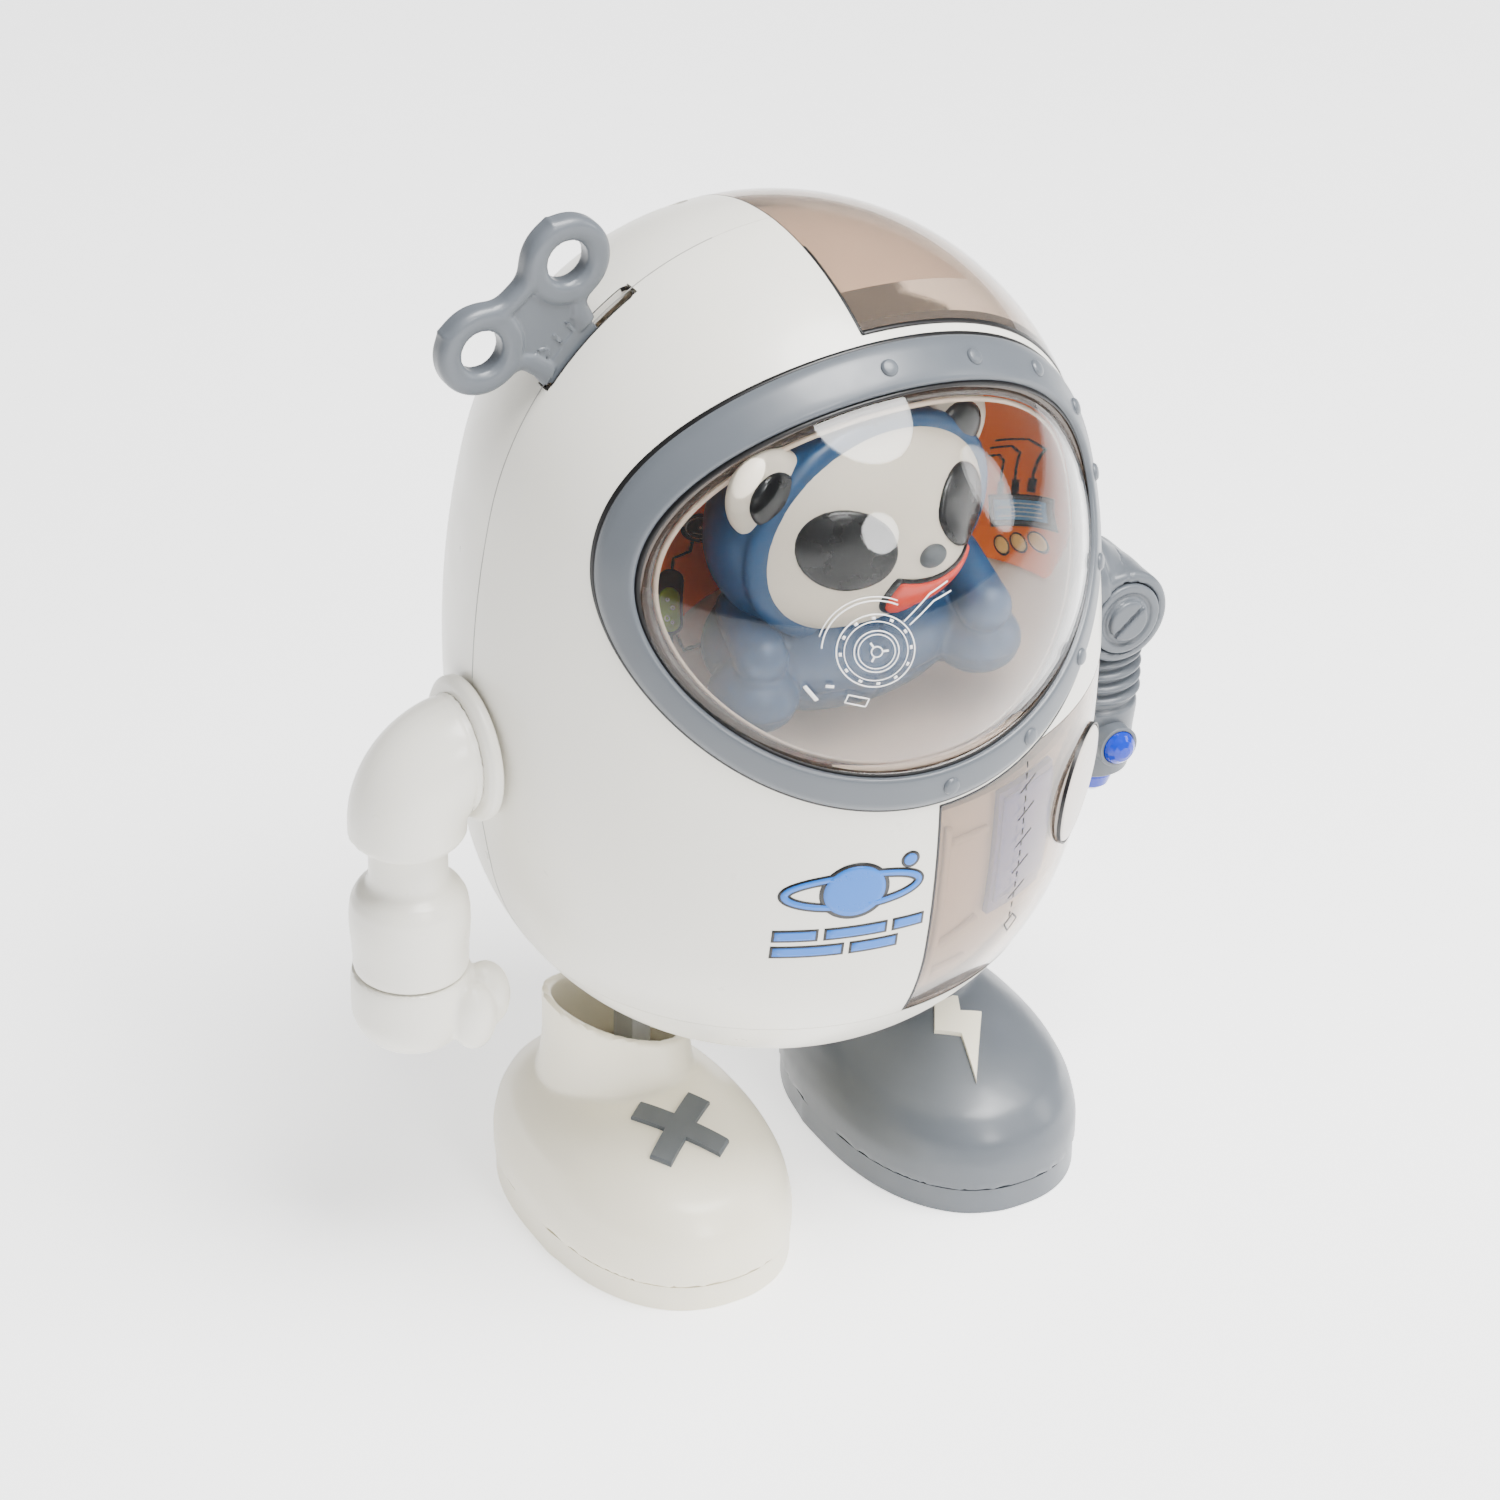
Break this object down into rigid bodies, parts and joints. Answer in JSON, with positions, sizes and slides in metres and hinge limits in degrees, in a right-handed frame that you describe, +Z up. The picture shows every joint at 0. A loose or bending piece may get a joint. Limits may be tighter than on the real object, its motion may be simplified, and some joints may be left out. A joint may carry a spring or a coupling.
{
  "type": "toy robot",
  "caption": "Egg-shaped battery toy robot with clear-domed bear pilot, switch key, swinging arms and walking shoes.",
  "frame": {"origin": "on the ground midway between the shoes, on the egg body's vertical axis", "axes": "+Z up, the robot faces -Y, its right hand is on -X"},
  "size_m": [0.1783, 0.1344, 0.2193],
  "materials": {
    "white_plastic": "smooth satin white plastic",
    "cream_plastic": "smooth satin cream white plastic",
    "grey_plastic": "satin grey plastic",
    "smoky_clear": "smoky clear plastic",
    "clear_dome": "clear plastic dome",
    "blue_clear": "blue clear plastic",
    "beige_plastic": "matt beige plastic",
    "orange_print": "printed orange card",
    "suit_blue": "painted blue soft plastic",
    "pilot_white": "painted white soft plastic",
    "pilot_black": "gloss black paint",
    "pilot_coral": "coral paint",
    "badge_grey": "matt grey plastic",
    "black_plastic": "matt black plastic",
    "gear_plastic": "natural plastic",
    "steel": "plain steel",
    "brass": "brass",
    "board_green": "green circuit board"
  },
  "bodies": {
    "body": {"front_shell": "white_plastic", "rear_shell": "white_plastic", "bottom_cap": "white_plastic", "upper_clear_panel": "smoky_clear", "lower_clear_panel": "smoky_clear", "upper_inner_housing": "beige_plastic", "lower_inner_housing": "beige_plastic", "blue_light_block": "blue_clear", "chest_disc": "beige_plastic", "visor_frame": "grey_plastic", "visor_dome": "clear_dome", "cockpit_bowl": "cream_plastic", "cockpit_backdrop": "orange_print", "pilot_suit": "suit_blue", "pilot_head": "pilot_white", "pilot_ears": "pilot_black", "pilot_eyes": "pilot_black", "pilot_mouth": "pilot_coral", "pilot_nose": "pilot_black", "switch_body": "black_plastic", "key_pivot_pin": "steel", "shell_screws": "steel", "batteries": "steel", "battery_contacts": "steel", "battery_box": "black_plastic", "speaker": "black_plastic", "circuit_board": "board_green", "gearbox_plate_left": "gear_plastic", "gearbox_plate_right": "gear_plastic", "motor_can": "steel"},
    "cover": {"battery_cover": "white_plastic"},
    "cover_screw": {"battery_cover_screw": "steel"},
    "key": {"key_lever": "grey_plastic"},
    "crank": {"crank_gear": "gear_plastic", "crankshaft": "steel"},
    "reduction": {"reduction_gear": "gear_plastic", "reduction_pin": "steel"},
    "motor_rotor": {"motor_pinion": "brass", "motor_shaft": "steel"},
    "right_arm": {"right_shoulder_flange": "white_plastic", "right_upper_arm": "white_plastic"},
    "right_forearm": {"right_forearm": "white_plastic", "right_hand": "white_plastic"},
    "left_arm": {"left_shoulder_flange": "grey_plastic", "left_upper_arm": "grey_plastic", "left_elbow_cap": "grey_plastic"},
    "left_forearm": {"left_forearm": "grey_plastic", "left_arm_lens": "blue_clear", "left_arm_tip": "blue_clear"},
    "right_leg": {"right_leg": "black_plastic"},
    "left_leg": {"left_leg": "black_plastic"},
    "right_shoe": {"right_shoe_upper": "cream_plastic", "right_shoe_sole": "cream_plastic", "right_shoe_badge": "badge_grey", "right_ankle_pin": "steel"},
    "left_shoe": {"left_shoe_upper": "grey_plastic", "left_shoe_sole": "grey_plastic", "left_shoe_badge": "cream_plastic", "left_ankle_pin": "steel"}
  },
  "joints": [
    {"name": "key_switch", "type": "hinge", "parent": "body", "child": "key", "pos_m": [-0.0187, 0.002, 0.1707], "axis": [0, 1, 0], "range_deg": [0, 15]},
    {"name": "right_shoulder", "type": "hinge", "parent": "body", "child": "right_arm", "pos_m": [-0.0643, 0.002, 0.1117], "axis": [1, 0, 0], "continuous": true},
    {"name": "left_shoulder", "type": "hinge", "parent": "body", "child": "left_arm", "pos_m": [0.0643, 0.002, 0.1117], "axis": [1, 0, 0], "continuous": true},
    {"name": "right_wrist_turn", "type": "hinge", "parent": "right_arm", "child": "right_forearm", "pos_m": [-0.0783, 0.002, 0.095], "axis": [0, 0, 1], "continuous": true},
    {"name": "left_wrist_turn", "type": "hinge", "parent": "left_arm", "child": "left_forearm", "pos_m": [0.0774, 0.002, 0.095], "axis": [0, 0, 1], "continuous": true},
    {"name": "crank_turn", "type": "hinge", "parent": "body", "child": "crank", "pos_m": [0, 0.002, 0.072], "axis": [1, 0, 0], "continuous": true},
    {"name": "reduction_turn", "type": "hinge", "parent": "body", "child": "reduction", "pos_m": [0, -0.01327, 0.08727], "axis": [1, 0, 0], "continuous": true},
    {"name": "motor_turn", "type": "hinge", "parent": "body", "child": "motor_rotor", "pos_m": [0, 0.00509, 0.09704], "axis": [1, 0, 0], "continuous": true},
    {"name": "right_leg_lift", "type": "slide", "parent": "body", "child": "right_leg", "axis": [0, 0, 1], "range_m": [-0.0025, 0.0025]},
    {"name": "left_leg_lift", "type": "slide", "parent": "body", "child": "left_leg", "axis": [0, 0, 1], "range_m": [-0.0025, 0.0025]},
    {"name": "right_ankle", "type": "hinge", "parent": "right_leg", "child": "right_shoe", "pos_m": [-0.03, 0.002, 0.018], "axis": [0, 1, 0], "range_deg": [-5, 5]},
    {"name": "left_ankle", "type": "hinge", "parent": "left_leg", "child": "left_shoe", "pos_m": [0.03, 0.002, 0.018], "axis": [0, 1, 0], "range_deg": [-5, 5]},
    {"name": "cover_lift_off", "type": "slide", "parent": "body", "child": "cover", "axis": [0, 1, 0], "range_m": [0, 0.03]},
    {"name": "cover_screw_turn", "type": "hinge", "parent": "cover", "child": "cover_screw", "pos_m": [0, 0.062, 0.126], "axis": [0, 1, 0], "continuous": true}
  ],
  "couplings": [
    {"joint": "reduction_turn", "follows": "crank_turn", "ratio": -3.5},
    {"joint": "motor_turn", "follows": "crank_turn", "ratio": 11.667},
    {"joint": "left_leg_lift", "follows": "right_leg_lift", "ratio": -1}
  ]
}
